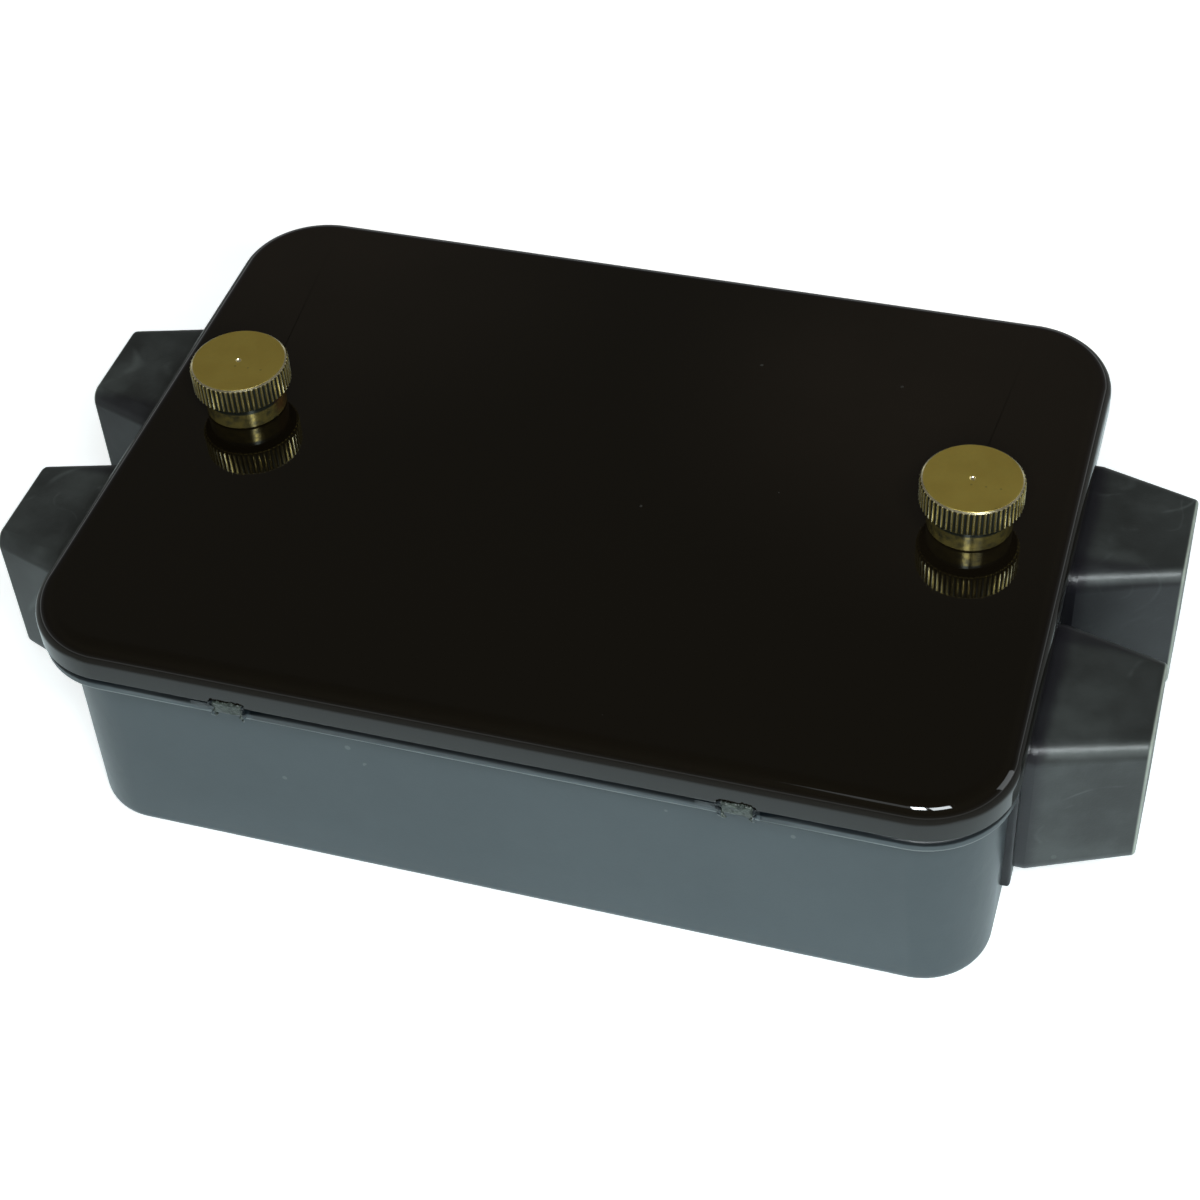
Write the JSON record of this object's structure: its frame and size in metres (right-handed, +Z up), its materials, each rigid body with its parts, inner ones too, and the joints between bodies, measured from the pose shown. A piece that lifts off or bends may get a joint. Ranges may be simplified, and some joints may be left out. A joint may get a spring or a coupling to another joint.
{
  "type": "waterproof junction box",
  "caption": "Waterproof junction box: moulded tray with rubber cable glands at both ends, and a gasketed pressed lid clamped by knurled brass thumb screws over a terminal block.",
  "frame": {"origin": "the middle of the tray's resting face", "axes": "+X along the box towards the right-hand gland, +Y towards the back, +Z up through the lid"},
  "size_m": [0.1852, 0.1094, 0.0553],
  "materials": {
    "housing": "satin moulded black",
    "lid_paint": "high-gloss black paint",
    "gland_rubber": "matt, scuffed",
    "seal_rubber": "matt",
    "screw_brass": "turned, dulled",
    "pillar_brass": "drawn hexagon bar",
    "terminal_brass": "rolled and turned",
    "clamp_steel": "pressed",
    "fixing_steel": "plated",
    "ring_steel": "spring steel",
    "block_plastic": "moulded phenolic"
  },
  "bodies": {
    "base": {"base_tray": "housing", "gland_left": "gland_rubber", "gland_right": "gland_rubber", "pillar_left": "pillar_brass", "pillar_right": "pillar_brass", "terminal_block": "block_plastic", "terminal_screws": "terminal_brass", "wire_clamps": "clamp_steel", "block_fixing_screws": "fixing_steel", "terminal_bar_1": "terminal_brass", "terminal_bar_2": "terminal_brass", "terminal_bar_3": "terminal_brass", "terminal_bar_4": "terminal_brass", "terminal_bar_5": "terminal_brass", "terminal_bar_6": "terminal_brass", "terminal_bar_7": "terminal_brass", "terminal_bar_8": "terminal_brass"},
    "lid": {"lid": "lid_paint", "lid_gasket": "seal_rubber", "screw_seal_left": "seal_rubber", "screw_seal_right": "seal_rubber"},
    "thumb_screw_left": {"thumb_screw_left": "screw_brass", "retaining_ring_left": "ring_steel"},
    "thumb_screw_right": {"thumb_screw_right": "screw_brass", "retaining_ring_right": "ring_steel"}
  },
  "joints": [
    {"name": "lid_lift", "type": "slide", "parent": "base", "child": "lid", "axis": [0, 0, 1], "range_m": [0, 0.06]},
    {"name": "thumb_screw_left_turn", "type": "hinge", "parent": "lid", "child": "thumb_screw_left", "pos_m": [-0.0598, 0.0036, 0.0462], "axis": [0, 0, 1], "continuous": true},
    {"name": "thumb_screw_right_turn", "type": "hinge", "parent": "lid", "child": "thumb_screw_right", "pos_m": [0.0598, 0.0036, 0.0462], "axis": [0, 0, 1], "continuous": true}
  ]
}
